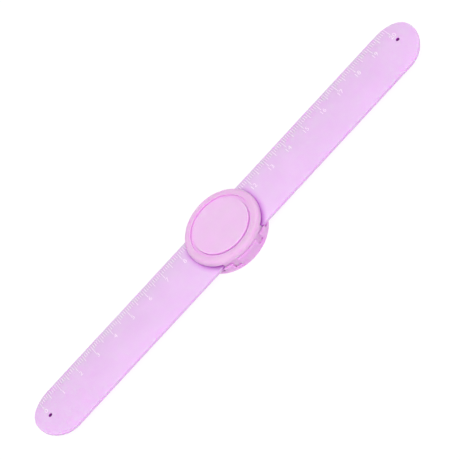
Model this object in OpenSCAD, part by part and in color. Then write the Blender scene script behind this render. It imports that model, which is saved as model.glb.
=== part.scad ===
// Slap bracelet with a printed ruler edge and a round clip-on case, lying straight and flat.
// X runs along the band, +Y is the ruler edge, +Z is the outer face. Z = 0 is the surface that the
// case stands on, and the origin lies under the middle of the band.

/* [Band] */
// Length of the band from tip to tip
band_length = 214.6; // [160:0.2:260]
// Width of the band as it lies, arched
band_width = 24.2; // [20:0.2:24.4]
// Thickness of the silicone
band_thickness = 1.3; // [1.1:0.1:1.7]
// Height of the arch across the band, from its edges to its crown
arch_height = 2.2; // [2:0.1:2.4]
// Height of the band's top edges above the surface that the case stands on
band_level = 5; // [4.8:0.1:5.1]
// Diameter of the small round hole near each end
hole_d = 1.6; // [1:0.1:2.5]
// Distance between the two holes, the length of the ruler
hole_spacing = 200; // [140:1:200]
// How far the pair of holes lies off the middle of the band
hole_shift = -0.4; // [-2:0.1:2]

/* [Spring strip] */
// Width of the steel strip
strip_width = 18; // [12:0.5:20]
// Length of the steel strip
strip_length = 205; // [145:1:208]
// Thickness of the steel strip
strip_thickness = 0.2; // [0.15:0.01:0.3]
// Gap left between the strip and the silicone round it
strip_gap = 0.05; // [0.02:0.01:0.1]

/* [Case cap] */
// How far the case sits off the middle of the band
case_shift = -0.8; // [-20:0.1:20]
// Diameter of the cap at its rim
cap_d = 33.8; // [33.6:0.1:36]
// Height of the whole case
case_height = 9.3; // [9.3:0.1:10]
// Height of the rounded rim
rim_height = 2.5; // [2.2:0.1:2.6]
// Radius that rounds the top of the rim
rim_round = 1.5; // [0.5:0.1:1.7]
// Radius that rounds the underside of the rim
rim_under = 0.4; // [0.1:0.1:0.4]
// Outer diameter of the ring groove
groove_d = 27.8; // [26:0.1:29]
// Depth of the ring groove
groove_depth = 0.9; // [0.4:0.1:1.1]
// Diameter of the flat disc inside the groove
disc_d = 25; // [20:0.1:25.4]
// Depth that the disc is let in below the floor of the groove
disc_seat = 0.2; // [0.2:0.1:0.4]
// Diameter of the cap's body below the rim
body_d = 32.6; // [32.6:0.1:32.9]
// Diameter of the recessed wall behind the tab and the notches
neck_d = 32.6; // [30:0.1:32.7]

/* [Case base] */
// Diameter of the base
base_d = 33.5; // [33.2:0.1:34]
// Diameter that the base flares out to, under the tab's chamfered top edge
flare_d = 34.5; // [34:0.1:35.4]
// Height of the flange at the foot of the base
flange_height = 2.2; // [1.8:0.1:2.4]
// Radius that rounds the bottom edge of the base
base_round = 0.8; // [0.3:0.1:1.2]
// Width of the raised tab in the middle of each side
tab_width = 10.4; // [6:0.1:11]
// Height of the tab's top above the surface
tab_height = 6.6; // [3:0.1:6.7]
// Width and height of the chamfer along the tab's top edge
tab_chamfer = 0.45; // [0.1:0.05:0.5]
// Width of the notch on each side of the tab
notch_width = 2.6; // [1:0.1:2.8]
// Height of a shoulder beside the notch
shoulder_height = 5.5; // [4:0.1:5.8]
// Height of a shoulder at its outer end, where the band comes out
shoulder_end_height = 4.4; // [3:0.1:4.8]
// Width of the seat that the band lies on
seat_width = 22; // [16:0.2:22.4]

/* [Fit] */
// Gap between the band's edge and the walls beside it
side_gap = 0.3; // [0.2:0.05:0.3]
// Gap between pieces that meet
part_gap = 0.1; // [0.05:0.01:0.12]
// Gap over the band's crown, under the cap
crown_gap = 0.1; // [0.1:0.01:0.2]
// Height that the slot under the cap gains from the crown of the band to its edge
slot_flare = 1.5; // [0.2:0.1:1.8]

/* [Hidden] */
$fn = 128;
big = 60;

function arc_radius(chord, rise) = (chord * chord / 4 + rise * rise) / (2 * rise);
arch_r = arc_radius(band_width, arch_height);
crown_z = band_level + arch_height;
arch_axis_z = crown_z - arch_r;
strip_mid_r = arch_r - band_thickness / 2;

channel_half = band_width / 2 + side_gap;
slot_top_z = crown_z + crown_gap;
slot_r = arc_radius(2 * channel_half, arch_height - slot_flare);
rim_bottom_z = case_height - rim_height;
seat_r = arch_r - band_thickness - part_gap;

window_half = tab_width / 2 + notch_width;
shoulder_end_x = sqrt(pow(base_d / 2, 2) - pow(channel_half, 2));
shoulder_tilt = atan2(shoulder_height - shoulder_end_height, shoulder_end_x - window_half);

// Long solid cylinder along X whose top lies at height top_z
module arch_core(radius, top_z) {
    translate([0, 0, top_z - radius])
        rotate([0, 90, 0])
            cylinder(r = radius, h = band_length + big, center = true, $fn = 360);
}

// Arched sheet between two radii about the band's own arch axis
module arch_sheet(outer_r, inner_r) {
    difference() {
        arch_core(outer_r, arch_axis_z + outer_r);
        arch_core(inner_r, arch_axis_z + inner_r);
    }
}

// Upright prism with round ends, seen from above a straight band
module round_ended(length, width, height) {
    linear_extrude(height)
        union() {
            square([length - width, width], center = true);
            for (side = [-1, 1])
                translate([side * (length - width) / 2, 0])
                    circle(d = width);
        }
}

module band() {
    color("#E9C8F3")
        difference() {
            intersection() {
                arch_sheet(arch_r, arch_r - band_thickness);
                round_ended(band_length, band_width, big);
            }
            intersection() {
                arch_sheet(strip_mid_r + strip_thickness / 2 + strip_gap,
                           strip_mid_r - strip_thickness / 2 - strip_gap);
                round_ended(strip_length + 2 * strip_gap, strip_width + 2 * strip_gap, big);
            }
            for (side = [-1, 1])
                translate([hole_shift + side * hole_spacing / 2, 0, crown_z - band_thickness / 2])
                    cylinder(d = hole_d, h = band_thickness, $fn = 48);
        }
}

module spring_strip() {
    color("#6A5A78")
        intersection() {
            arch_sheet(strip_mid_r + strip_thickness / 2, strip_mid_r - strip_thickness / 2);
            round_ended(strip_length, strip_width, big);
        }
}

// Everything beside the band's channel, on both sides of it
module beside_channel() {
    for (side = [-1, 1])
        translate([0, side * (channel_half + big / 2), big / 2])
            cube([big, big, big], center = true);
}

// Upright block of a given width in X, over the whole case
module middle_block(width, height) {
    translate([-width / 2, -big / 2, 0])
        cube([width, big, height]);
}

// Space below the sloping top of the two shoulders, moved down by drop
module below_shoulders(drop) {
    for (side = [-1, 1])
        translate([side * window_half, 0, shoulder_height - drop])
            rotate([0, side * shoulder_tilt, 0])
                translate([side > 0 ? 0 : -big, -big / 2, -big])
                    cube([big, big, big]);
}

// Plate with a rounded bottom edge
module flange() {
    rotate_extrude()
        union() {
            square([base_d / 2 - base_round, flange_height]);
            translate([0, base_round])
                square([base_d / 2, flange_height - base_round]);
            intersection() {
                translate([base_d / 2 - base_round, base_round])
                    circle(r = base_round, $fn = 64);
                square([base_d, flange_height]);
            }
        }
}

// Ring wall of the base, flaring upwards to a chamfered top, before the tab and the shoulders are
// cut out of it
module base_wall() {
    flare_height = tab_height - tab_chamfer - flange_height / 2;
    translate([0, 0, flange_height / 2])
        difference() {
            union() {
                cylinder(d1 = base_d, d2 = flare_d, h = flare_height);
                translate([0, 0, flare_height])
                    cylinder(d1 = flare_d, d2 = flare_d - 2 * tab_chamfer, h = tab_chamfer);
            }
            translate([0, 0, -1])
                cylinder(d = neck_d, h = big);
        }
}

module case_base() {
    color("#DFA2E0")
        translate([case_shift, 0, 0])
            union() {
                flange();
                intersection() {
                    base_wall();
                    beside_channel();
                    middle_block(tab_width, tab_height);
                }
                intersection() {
                    base_wall();
                    beside_channel();
                    below_shoulders(0);
                    difference() {
                        translate([0, 0, 1])
                            cylinder(d = big, h = big);
                        middle_block(2 * window_half, 2 * big);
                    }
                }
                intersection() {
                    translate([0, 0, flange_height / 2])
                        cylinder(d = neck_d, h = case_height);
                    translate([-big / 2, -seat_width / 2, 0])
                        cube([big, seat_width, big]);
                    arch_core(seat_r, arch_axis_z + seat_r);
                }
            }
}

// Rim of the cap, rounded above and below, a section turned about the case's axis
module rim() {
    translate([0, 0, rim_bottom_z])
        rotate_extrude()
            union() {
                square([cap_d / 2 - rim_under, rim_under]);
                translate([0, rim_under])
                    square([cap_d / 2, rim_height - rim_under - rim_round]);
                translate([0, rim_height - rim_round])
                    square([cap_d / 2 - rim_round, rim_round]);
                intersection() {
                    translate([cap_d / 2 - rim_under, rim_under])
                        circle(r = rim_under, $fn = 96);
                    square([cap_d / 2, rim_under]);
                }
                intersection() {
                    translate([cap_d / 2 - rim_round, rim_height - rim_round])
                        circle(r = rim_round, $fn = 96);
                    translate([0, rim_height - rim_round])
                        square([cap_d / 2, rim_round]);
                }
            }
}

// Body of the cap below the rim: a skirt on each side of the band
module cap_body() {
    difference() {
        translate([0, 0, flange_height + part_gap])
            cylinder(d = body_d, h = rim_bottom_z - flange_height + rim_under / 2);
        difference() {
            middle_block(2 * window_half, rim_bottom_z + rim_under);
            cylinder(d = neck_d - 2 * part_gap, h = big);
        }
        difference() {
            below_shoulders(-part_gap);
            cylinder(d = neck_d - 2 * part_gap, h = 2 * big, center = true);
        }
    }
}

// Arched way through the cap for the band
module band_slot() {
    intersection() {
        translate([-big / 2, -channel_half, 0])
            cube([big, 2 * channel_half, big]);
        arch_core(slot_r, slot_top_z);
    }
}

module case_cap() {
    color("#EDB9EC")
        translate([case_shift, 0, 0])
            difference() {
                union() {
                    rim();
                    cap_body();
                }
                band_slot();
                translate([0, 0, case_height - groove_depth])
                    cylinder(d = groove_d, h = case_height);
                translate([0, 0, case_height - groove_depth - disc_seat])
                    cylinder(d = disc_d + 2 * part_gap, h = case_height);
            }
}

module case_disc() {
    color("#F0C3F0")
        translate([case_shift, 0, case_height - groove_depth - disc_seat + part_gap])
            cylinder(d = disc_d, h = groove_depth + disc_seat - part_gap);
}

band();
spring_strip();
case_base();
case_cap();
case_disc();
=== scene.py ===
import math

import bmesh
import bpy
from mathutils import Matrix, Vector


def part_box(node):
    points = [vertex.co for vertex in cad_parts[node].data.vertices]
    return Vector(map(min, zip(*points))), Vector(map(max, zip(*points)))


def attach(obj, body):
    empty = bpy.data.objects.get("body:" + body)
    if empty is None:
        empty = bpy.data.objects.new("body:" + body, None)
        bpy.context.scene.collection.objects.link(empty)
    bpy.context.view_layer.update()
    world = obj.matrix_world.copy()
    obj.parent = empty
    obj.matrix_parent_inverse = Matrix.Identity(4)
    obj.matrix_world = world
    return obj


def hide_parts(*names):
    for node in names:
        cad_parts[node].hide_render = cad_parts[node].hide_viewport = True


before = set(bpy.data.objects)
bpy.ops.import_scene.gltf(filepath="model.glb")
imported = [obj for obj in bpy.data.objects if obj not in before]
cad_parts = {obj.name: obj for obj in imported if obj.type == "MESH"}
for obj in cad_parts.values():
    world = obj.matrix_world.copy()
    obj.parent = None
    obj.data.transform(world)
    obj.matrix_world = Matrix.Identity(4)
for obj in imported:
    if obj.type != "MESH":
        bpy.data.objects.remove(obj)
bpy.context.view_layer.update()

MM = 0.001

# The band: its CAD box gives its reach, its arch and thickness are as in the CAD source, and its
# rounded edges are the scene's own
BAND_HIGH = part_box("band")[1]
HALF_LENGTH = BAND_HIGH.x
HALF_WIDTH = BAND_HIGH.y
ARCH_RISE = 2.2 * MM
BAND_THICKNESS = 1.3 * MM
ARCH_RADIUS = (HALF_WIDTH**2 + ARCH_RISE**2) / (2 * ARCH_RISE)
ARCH_AXIS_Z = BAND_HIGH.z - ARCH_RADIUS
TOP_EDGE_ROUND = 0.3 * MM
BOTTOM_EDGE_ROUND = 0.25 * MM

# The cavity round the steel strip, and the holes that go down to it
STRIP_THICKNESS = 0.2 * MM
STRIP_CLEARANCE = 0.05 * MM
HOLE_X = 100 * MM
HOLE_SHIFT = -0.4 * MM
HOLE_RADIUS = 0.8 * MM
HOLE_LIP = 0.16 * MM

# How finely the band and its holes are meshed, and the angle from which an edge looks sharp
RING_STEP = 0.7 * MM
STRAIGHT_STEP = 1.0 * MM
END_SEGMENTS = 72
EDGE_SEGMENTS = 6
CAVITY_RINGS = 12
HOLE_SEGMENTS = 64
SHARP_ANGLE = math.radians(40)

# A ring narrower than this is a line, where points that agree to so many digits are one vertex
NO_WIDTH = 1e-9
PLACE_DIGITS = 7

# The printed ruler
RULER_CM = 20
MM_PER_CM = 10
RULER_SHIFT = -0.75 * MM
TICK_WIDTH = 0.27 * MM
TICK_TOP_Y = 10.7 * MM
TICK_END_Y = {"mm": 7.85 * MM, "half": 5.9 * MM, "cm": 4.83 * MM}
NUMBER_Y = 2.05 * MM
NUMBER_HEIGHT = 2.4 * MM
NUMBER_SQUEEZE = 0.86
NUMBER_SHIFT = 0.25 * MM
NUMBER_CURVE_STEPS = 3
INK_HEIGHT = 0.02 * MM
INK_DEPTH = 0.01 * MM
DRAPE_STEP = 0.4 * MM
PRINT_MERGE = 1e-7
BOX_FACES = ((3, 2, 1, 0), (4, 5, 6, 7), (0, 1, 5, 4), (1, 2, 6, 5), (2, 3, 7, 6), (3, 0, 4, 7))

# Silicone and plastic let some light through, red and blue further than green, and shine little.
# The share of open sky over a point, which sets how much shade is painted into a colour, is worked
# out from a number of samples.
LIGHT_REACH = (1.0, 0.3, 0.95)
SPECULAR = 0.25
SKY_SAMPLES = 12

# Where the two tones of a mottled colour stand along its noise
MOTTLE_STOPS = (0.3, 0.7)

# The plastic of each part of the case, in the terms that mottled_colour and the painted shade tint
# use: two mottled tones of its own colour, then a deeper tone painted into its hollows and walls
PLASTICS = {
    "case_base": {"dark": (0.70, 0.365, 0.695), "light": (0.73, 0.39, 0.725),
                  "shade_tone": (0.96, 0.42, 0.96), "reach": 0.4 * MM, "wall_share": 0.85},
    "case_cap": {"dark": (0.67, 0.425, 0.65), "light": (0.70, 0.45, 0.68),
                 "shade_tone": (0.97, 0.47, 0.97), "reach": 1.3 * MM, "wall_share": 0.85},
    "case_disc": {"dark": (0.72, 0.475, 0.715), "light": (0.745, 0.49, 0.74),
                  "shade_tone": (0.92, 0.4, 0.92), "reach": 1.1 * MM, "wall_share": 0.55},
}

# The softened edges of the case
CASE_EDGE_ROUND = 0.1 * MM
CASE_EDGE_SEGMENTS = 3
CASE_EDGE_ANGLE = math.radians(35)
CASE_WELD = 1e-6

# The camera, as fitted to the ruler's marks, the holes and the band's outline
PHOTO_SIDE = 460
FOCAL_PIXELS = 2436.5
SENSOR_MM = 36.0
CAMERA_DISTANCE = 953.86 * MM
CAMERA_ELEVATION = math.radians(46.668)
CAMERA_AZIMUTH = math.radians(0.248)
CAMERA_ROLL = math.radians(47.436)
AIM_HEIGHT = 5.3 * MM
AIM_RIGHT = 0.41 * MM
AIM_UP = -1.22 * MM
NEAR_CLIP = 0.05
FAR_CLIP = 50

# The studio, in metres and watts: a white tent of even light, most of it from above, over a pale
# floor that glows
WHITE = (1, 1, 1, 1)
FLOOR_HALF = 6.0
FLOOR_GREY = 0.14
FLOOR_GLOW = 0.88
WORLD_STRENGTH = 0.34
KEY_ELEVATION = math.radians(71)
KEY_DISTANCE = 2.6
KEY_SIZE = 5.0
KEY_POWER = 141


def material(name):
    """New material and its Principled shader."""
    made = bpy.data.materials.new(name)
    made.use_nodes = True
    return made, made.node_tree.nodes["Principled BSDF"]


def node(tree, kind, **settings):
    """Adds a shader node and sets its sockets or properties by name."""
    made = tree.nodes.new(kind)
    for key, value in settings.items():
        socket = made.inputs.get(key.replace("_", " "))
        if socket is not None:
            socket.default_value = value
        else:
            setattr(made, key, value)
    return made


def object_noise(tree, per_metre, detail):
    """Noise over the object's own coordinates, with so many features a metre."""
    coords = node(tree, "ShaderNodeTexCoord")
    noise = node(tree, "ShaderNodeTexNoise", Scale=per_metre, Detail=detail)
    tree.links.new(coords.outputs["Object"], noise.inputs["Vector"])
    return noise.outputs["Fac"]


def mottled_colour(made, shader, dark, light, per_metre):
    """Base colour that drifts between two close tones, in linear red, green and blue."""
    tree = made.node_tree
    ramp = node(tree, "ShaderNodeValToRGB")
    for stop, place, tone in zip(ramp.color_ramp.elements, MOTTLE_STOPS, (dark, light)):
        stop.position = place
        stop.color = (*tone, 1)
    tree.links.new(object_noise(tree, per_metre, detail=4), ramp.inputs["Fac"])
    tree.links.new(ramp.outputs["Color"], shader.inputs["Base Color"])


def varied_roughness(made, shader, low, high, per_metre):
    """Roughness that drifts between two values."""
    tree = made.node_tree
    spread = node(tree, "ShaderNodeMapRange", To_Min=low, To_Max=high)
    tree.links.new(object_noise(tree, per_metre, detail=3), spread.inputs["Value"])
    tree.links.new(spread.outputs["Result"], shader.inputs["Roughness"])


def grain(made, shader, layers):
    """Bump from layers of noise: each is (features a metre, height in metres)."""
    tree = made.node_tree
    below = None
    for per_metre, height in layers:
        bump = node(tree, "ShaderNodeBump", Strength=1.0, Distance=height)
        tree.links.new(object_noise(tree, per_metre, detail=2), bump.inputs["Height"])
        if below is not None:
            tree.links.new(below.outputs["Normal"], bump.inputs["Normal"])
        below = bump
    tree.links.new(below.outputs["Normal"], shader.inputs["Normal"])


def translucent_tint(made, shader, shade_tone, reach, wall_share, darkest):
    """Paints shade into the colour: a deeper, darker tone in hollows and on walls, where less light
    falls and where light that has crossed the material tints it.

    A hollow counts when its walls are nearer than reach, and is painted all in the shade tone once
    its share of open sky is down to darkest. An upright wall counts as only wall_share as open as a
    level face.
    """
    tree = made.node_tree
    surface = shader.inputs["Base Color"].links[0].from_socket
    open_sky = node(tree, "ShaderNodeAmbientOcclusion", samples=SKY_SAMPLES, Distance=reach)
    coords = node(tree, "ShaderNodeTexCoord")
    normal = node(tree, "ShaderNodeSeparateXYZ")
    tree.links.new(coords.outputs["Normal"], normal.inputs["Vector"])
    upward = node(tree, "ShaderNodeMapRange", To_Min=wall_share)
    tree.links.new(normal.outputs["Z"], upward.inputs["Value"])
    openness = node(tree, "ShaderNodeMath", operation="MULTIPLY")
    tree.links.new(open_sky.outputs["AO"], openness.inputs[0])
    tree.links.new(upward.outputs["Result"], openness.inputs[1])
    share = node(tree, "ShaderNodeMapRange", From_Min=darkest)
    tree.links.new(openness.outputs["Value"], share.inputs["Value"])
    mix = node(tree, "ShaderNodeMix", data_type="RGBA")
    mix.inputs["A"].default_value = (*shade_tone, 1)
    tree.links.new(share.outputs["Result"], mix.inputs["Factor"])
    tree.links.new(surface, mix.inputs["B"])
    tree.links.new(mix.outputs["Result"], shader.inputs["Base Color"])


def let_light_in(shader, depth):
    """Scatters light inside the material, down to about depth."""
    shader.inputs["Subsurface Weight"].default_value = 1.0
    shader.inputs["Subsurface Radius"].default_value = LIGHT_REACH
    shader.inputs["Subsurface Scale"].default_value = depth
    shader.inputs["Specular IOR Level"].default_value = SPECULAR


def silicone_material():
    made, shader = material("silicone_lilac")
    mottled_colour(made, shader, dark=(0.685, 0.465, 0.73), light=(0.71, 0.49, 0.755), per_metre=90)
    # Painted shade: the band turns dark purple in the slots under the case and in a haze round its
    # foot
    translucent_tint(made, shader, shade_tone=(0.49, 0.02, 0.59), reach=2.6 * MM, wall_share=0.95,
                     darkest=0.29)
    varied_roughness(made, shader, low=0.55, high=0.65, per_metre=400)
    grain(made, shader, layers=[(900, 0.004 * MM), (6000, 0.0025 * MM)])
    let_light_in(shader, depth=0.8 * MM)
    return made


def plastic_material(part):
    look = PLASTICS[part]
    made, shader = material(part + "_plastic")
    mottled_colour(made, shader, look["dark"], look["light"], per_metre=140)
    # Painted shade: each plastic turns to a deeper, darker tone in its hollows and on its walls
    translucent_tint(made, shader, look["shade_tone"], look["reach"], look["wall_share"], darkest=0.0)
    varied_roughness(made, shader, low=0.46, high=0.54, per_metre=600)
    grain(made, shader, layers=[(1500, 0.003 * MM), (8000, 0.0015 * MM)])
    let_light_in(shader, depth=1.6 * MM)
    return made


def steel_material():
    made, shader = material("strip_steel")
    # The strip's tone: partly the steel's own dark, partly painted shade of the deep hole, tinted
    # purple as painted light bounced off the lilac silicone round it
    mottled_colour(made, shader, dark=(0.12, 0.009, 0.14), light=(0.17, 0.015, 0.19), per_metre=1500)
    varied_roughness(made, shader, low=0.35, high=0.5, per_metre=3000)
    grain(made, shader, layers=[(5000, 0.002 * MM)])
    shader.inputs["Metallic"].default_value = 0.5
    return made


def ink_material():
    made, shader = material("ruler_ink")
    mottled_colour(made, shader, dark=(0.87, 0.715, 0.88), light=(0.93, 0.755, 0.94), per_metre=2500)
    varied_roughness(made, shader, low=0.5, high=0.65, per_metre=2000)
    grain(made, shader, layers=[(9000, 0.003 * MM)])
    return made


def floor_material():
    made, shader = material("white_table")
    shader.inputs["Base Color"].default_value = (FLOOR_GREY, FLOOR_GREY, FLOOR_GREY, 1)
    shader.inputs["Roughness"].default_value = 0.8
    shader.inputs["Specular IOR Level"].default_value = 0.1
    shader.inputs["Emission Color"].default_value = WHITE
    shader.inputs["Emission Strength"].default_value = FLOOR_GLOW
    return made


def add_object(name, data):
    """New object in the scene."""
    made = bpy.data.objects.new(name, data)
    bpy.context.scene.collection.objects.link(made)
    return made


def mesh_from(name, bm):
    """Mesh from a bmesh, with its faces turned outwards."""
    bmesh.ops.recalc_face_normals(bm, faces=bm.faces)
    mesh = bpy.data.meshes.new(name)
    bm.to_mesh(mesh)
    bm.free()
    return mesh


def mesh_object(name, bm, finish):
    """Object from a bmesh, smooth except where its faces meet at a sharp angle."""
    mesh = mesh_from(name, bm)
    mesh.shade_smooth()
    mesh.set_sharp_from_angle(angle=SHARP_ANGLE)
    mesh.materials.append(finish)
    return add_object(name, mesh)


def evaluated_mesh(source):
    """Copy of an object's mesh with its modifiers applied, or of the mesh that its text makes."""
    graph = bpy.context.evaluated_depsgraph_get()
    return bpy.data.meshes.new_from_object(source.evaluated_get(graph))


def arch_z(y, depth=0.0):
    """Height of the arched sheet at y, at a depth below its outer face."""
    return ARCH_AXIS_Z + math.sqrt((ARCH_RADIUS - depth) ** 2 - y * y)


def quarter_turn(segments):
    """Angles, in radians, that split a quarter turn into equal segments."""
    return [math.pi / 2 * i / segments for i in range(segments + 1)]


def pill_ring(half_length, half_width, inset):
    """Points round a straight strip with half-round ends, pulled in by inset."""
    end_x = half_length - half_width
    radius = half_width - inset
    steps = round(2 * end_x / STRAIGHT_STEP)
    along = [-end_x + 2 * end_x * i / steps for i in range(steps + 1)]
    turn = [math.pi * i / END_SEGMENTS for i in range(1, END_SEGMENTS)]
    far = [(x, radius) for x in along]
    right = [(end_x + radius * math.sin(angle), radius * math.cos(angle)) for angle in turn]
    near = [(x, -radius) for x in reversed(along)]
    left = [(-end_x - radius * math.sin(angle), -radius * math.cos(angle)) for angle in turn]
    return far + right + near + left


def arched_ring(bm, half_length, half_width, inset, depth):
    """Vertices of one ring on the arched sheet. A ring with no width left is a line along X."""
    points = pill_ring(half_length, half_width, inset)
    if half_width - inset >= NO_WIDTH:
        return [bm.verts.new((x, y, arch_z(y, depth))) for x, y in points]
    line = {}
    for x, _ in points:
        place = round(x, PLACE_DIGITS)
        if place not in line:
            line[place] = bm.verts.new((x, 0, arch_z(0, depth)))
    return [line[round(x, PLACE_DIGITS)] for x, _ in points]


def bridge(bm, lower, upper):
    """Faces between two closed rings of the same length, which may share vertices."""
    count = len(lower)
    for i in range(count):
        j = (i + 1) % count
        corners = list(dict.fromkeys([lower[i], lower[j], upper[j], upper[i]]))
        if len(corners) > 2:
            bm.faces.new(corners)


def arched_pill(half_length, half_width, profile, face_rings):
    """Closed solid from rows of (inset, depth), from its lower face round its edge to its upper."""
    first_inset, lower_depth = profile[0]
    last_inset, upper_depth = profile[-1]
    rows = [(half_width + (first_inset - half_width) * i / face_rings, lower_depth)
            for i in range(face_rings)]
    rows += profile
    rows += [(last_inset + (half_width - last_inset) * (i + 1) / face_rings, upper_depth)
             for i in range(face_rings)]
    bm = bmesh.new()
    rings = [arched_ring(bm, half_length, half_width, inset, depth) for inset, depth in rows]
    for lower, upper in zip(rings, rings[1:]):
        bridge(bm, lower, upper)
    return bm


def lathe(profile, centre):
    """Closed solid turned round an upright axis at centre from (radius, z) rows, with flat ends."""
    bm = bmesh.new()
    turn = [2 * math.pi * i / HOLE_SEGMENTS for i in range(HOLE_SEGMENTS)]
    rings = [[bm.verts.new((centre.x + radius * math.cos(angle),
                            centre.y + radius * math.sin(angle), z)) for angle in turn]
             for radius, z in profile]
    for lower, upper in zip(rings, rings[1:]):
        bridge(bm, lower, upper)
    bm.faces.new(rings[0])
    bm.faces.new(rings[-1])
    return bm


def subtract(piece, cutters):
    """Cuts bmesh solids out of a piece, one after another, and applies each cut."""
    for bm in cutters:
        cutter = add_object("cutter", mesh_from("cutter", bm))
        cut = piece.modifiers.new("cut", "BOOLEAN")
        cut.operation = "DIFFERENCE"
        cut.solver = "EXACT"
        cut.object = cutter
        used_meshes = [piece.data, cutter.data]
        result = evaluated_mesh(piece)
        piece.modifiers.clear()
        piece.data = result
        bpy.data.objects.remove(cutter)
        for mesh in used_meshes:
            bpy.data.meshes.remove(mesh)
    piece.data.set_sharp_from_angle(angle=SHARP_ANGLE)


def band_profile():
    """Rows of (inset, depth) round the band's edge, from below to above, rounded at both."""
    turn = quarter_turn(EDGE_SEGMENTS)
    below = [(BOTTOM_EDGE_ROUND * (1 - math.sin(angle)),
              BAND_THICKNESS - BOTTOM_EDGE_ROUND * (1 - math.cos(angle))) for angle in turn]
    above = [(TOP_EDGE_ROUND * (1 - math.sin(angle)), TOP_EDGE_ROUND * (1 - math.cos(angle)))
             for angle in reversed(turn)]
    return below + above


def strip_cavity():
    """The space round the steel strip inside the silicone."""
    strip_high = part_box("spring_strip")[1]
    upper = (BAND_THICKNESS - STRIP_THICKNESS) / 2 - STRIP_CLEARANCE
    lower = (BAND_THICKNESS + STRIP_THICKNESS) / 2 + STRIP_CLEARANCE
    return arched_pill(strip_high.x + STRIP_CLEARANCE, strip_high.y + STRIP_CLEARANCE,
                       [(0, lower), (0, upper)], CAVITY_RINGS)


def hole_cutter(side):
    """A round hole with a softened lip, from above the crown down into the strip's cavity."""
    top = BAND_HIGH.z
    floor = (HOLE_RADIUS, top - BAND_THICKNESS / 2)
    lip = [(HOLE_RADIUS + HOLE_LIP * (1 - math.cos(angle)), top - HOLE_LIP * (1 - math.sin(angle)))
           for angle in quarter_turn(EDGE_SEGMENTS)]
    mouth = (HOLE_RADIUS + HOLE_LIP, top + HOLE_LIP)
    return lathe([floor, *lip, mouth], Vector((side * HOLE_X + HOLE_SHIFT, 0, 0)))


def band_piece(finish):
    bm = arched_pill(HALF_LENGTH, HALF_WIDTH, band_profile(), round(HALF_WIDTH / RING_STEP))
    piece = mesh_object("band_skin", bm, finish)
    subtract(piece, [strip_cavity(), hole_cutter(-1), hole_cutter(1)])
    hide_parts("band")
    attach(piece, "root")


def add_box(bm, x, y_low, y_high):
    """Thin box for one mark, flat until it is draped over the arch."""
    verts = [bm.verts.new((x + side * TICK_WIDTH / 2, y, z)) for z in (-INK_DEPTH, INK_HEIGHT)
             for y, side in ((y_low, -1), (y_low, 1), (y_high, 1), (y_high, -1))]
    for face in BOX_FACES:
        bm.faces.new([verts[i] for i in face])


def mark_kind(mm):
    """Which of the three lengths of mark stands at a millimetre of the ruler."""
    if mm % MM_PER_CM == 0:
        return "cm"
    if mm % (MM_PER_CM // 2) == 0:
        return "half"
    return "mm"


def add_marks(bm):
    ruler_mm = RULER_CM * MM_PER_CM
    for mm in range(ruler_mm + 1):
        x = (mm - ruler_mm // 2) * MM + RULER_SHIFT
        add_box(bm, x, TICK_END_Y[mark_kind(mm)], TICK_TOP_Y)


def number_mesh(text):
    """Flat lettering of one number, as a solid as thick as the ink."""
    curve = bpy.data.curves.new("number", "FONT")
    curve.body = text
    curve.align_x = "CENTER"
    curve.extrude = (INK_HEIGHT + INK_DEPTH) / 2
    curve.resolution_u = NUMBER_CURVE_STEPS
    holder = add_object("number", curve)
    mesh = evaluated_mesh(holder)
    bpy.data.objects.remove(holder)
    bpy.data.curves.remove(curve)
    return mesh


def add_numbers(bm):
    """Numbers at every centimetre, each brought to its height and set beside its mark."""
    for cm in range(RULER_CM + 1):
        mesh = number_mesh(str(cm))
        xs = [vert.co.x for vert in mesh.vertices]
        ys = [vert.co.y for vert in mesh.vertices]
        middle = (min(xs) + max(xs)) / 2
        foot = min(ys)
        scale = NUMBER_HEIGHT / (max(ys) - foot)
        x = (cm - RULER_CM / 2) * MM_PER_CM * MM + RULER_SHIFT + NUMBER_SHIFT
        for vert in mesh.vertices:
            vert.co.x = x + (vert.co.x - middle) * scale * NUMBER_SQUEEZE
            vert.co.y = NUMBER_Y + (vert.co.y - foot) * scale
            vert.co.z = vert.co.z + (INK_HEIGHT - INK_DEPTH) / 2
        bm.from_mesh(mesh)
        bpy.data.meshes.remove(mesh)


def drape(bm):
    """Cuts the print into short steps across the band and lays it on the arch."""
    bmesh.ops.remove_doubles(bm, verts=bm.verts, dist=PRINT_MERGE)
    y = NUMBER_Y + DRAPE_STEP
    while y < TICK_TOP_Y:
        geometry = bm.verts[:] + bm.edges[:] + bm.faces[:]
        bmesh.ops.bisect_plane(bm, geom=geometry, plane_co=(0, y, 0), plane_no=(0, 1, 0))
        y += DRAPE_STEP
    for vert in bm.verts:
        vert.co.z += arch_z(vert.co.y)


def ruler_piece(finish):
    bm = bmesh.new()
    add_marks(bm)
    add_numbers(bm)
    drape(bm)
    piece = mesh_object("ruler_print", bm, finish)
    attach(piece, "root")


def paint(name, finish):
    """Gives a CAD node its material."""
    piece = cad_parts[name]
    piece.data.materials.clear()
    piece.data.materials.append(finish)
    return piece


def soften_edges(piece):
    """Rounds the sharp edges of a CAD node slightly."""
    weld = piece.modifiers.new("weld", "WELD")
    weld.merge_threshold = CASE_WELD
    bevel = piece.modifiers.new("soft_edges", "BEVEL")
    bevel.width = CASE_EDGE_ROUND
    bevel.segments = CASE_EDGE_SEGMENTS
    bevel.limit_method = "ANGLE"
    bevel.angle_limit = CASE_EDGE_ANGLE
    bevel.harden_normals = True


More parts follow.
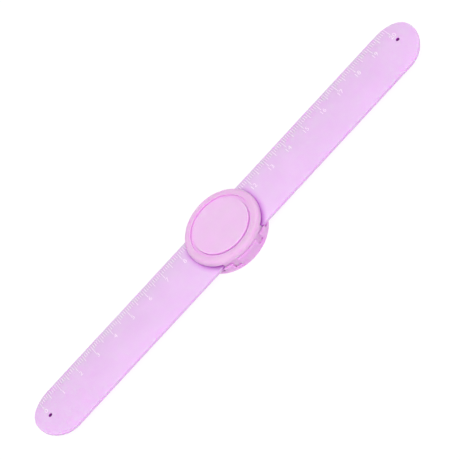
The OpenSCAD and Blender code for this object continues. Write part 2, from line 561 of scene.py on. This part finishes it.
def add_floor(finish):
    bm = bmesh.new()
    corners = [(-FLOOR_HALF, -FLOOR_HALF), (FLOOR_HALF, -FLOOR_HALF),
               (FLOOR_HALF, FLOOR_HALF), (-FLOOR_HALF, FLOOR_HALF)]
    bm.faces.new([bm.verts.new((x, y, 0)) for x, y in corners])
    mesh_object("floor", bm, finish)


def add_world():
    world = bpy.data.worlds.new("studio")
    world.use_nodes = True
    background = world.node_tree.nodes["Background"]
    background.inputs["Color"].default_value = WHITE
    background.inputs["Strength"].default_value = WORLD_STRENGTH
    bpy.context.scene.world = world


def add_key_light():
    """One large soft light overhead, leaning towards the camera's side."""
    data = bpy.data.lights.new("key", "AREA")
    data.size = KEY_SIZE
    data.energy = KEY_POWER
    light = add_object("key", data)
    back = Vector((0, -math.cos(KEY_ELEVATION), math.sin(KEY_ELEVATION)))
    light.location = back * KEY_DISTANCE
    light.rotation_mode = "QUATERNION"
    light.rotation_quaternion = back.to_track_quat("Z", "Y")


def add_camera():
    data = bpy.data.cameras.new("photo_camera")
    data.sensor_width = SENSOR_MM
    data.lens = SENSOR_MM * FOCAL_PIXELS / PHOTO_SIDE
    data.clip_start = NEAR_CLIP
    data.clip_end = FAR_CLIP
    camera = add_object("photo_camera", data)
    azimuth, elevation = CAMERA_AZIMUTH, CAMERA_ELEVATION
    back = Vector((math.sin(azimuth) * math.cos(elevation),
                   -math.cos(azimuth) * math.cos(elevation), math.sin(elevation)))
    right = Vector((math.cos(azimuth), math.sin(azimuth), 0))
    up = back.cross(right)
    aim = Vector((0, 0, AIM_HEIGHT)) + right * AIM_RIGHT + up * AIM_UP
    image_right = right * math.cos(CAMERA_ROLL) - up * math.sin(CAMERA_ROLL)
    image_up = right * math.sin(CAMERA_ROLL) + up * math.cos(CAMERA_ROLL)
    turn = Matrix((image_right, image_up, back)).transposed().to_4x4()
    camera.matrix_world = Matrix.Translation(aim + back * CAMERA_DISTANCE) @ turn
    bpy.context.scene.camera = camera


def set_colour_view():
    settings = bpy.context.scene.view_settings
    settings.view_transform = "Standard"
    settings.look = "None"


band_piece(silicone_material())
ruler_piece(ink_material())
paint("spring_strip", steel_material())
for part in PLASTICS:
    soften_edges(paint(part, plastic_material(part)))
add_floor(floor_material())
add_world()
add_key_light()
add_camera()
set_colour_view()
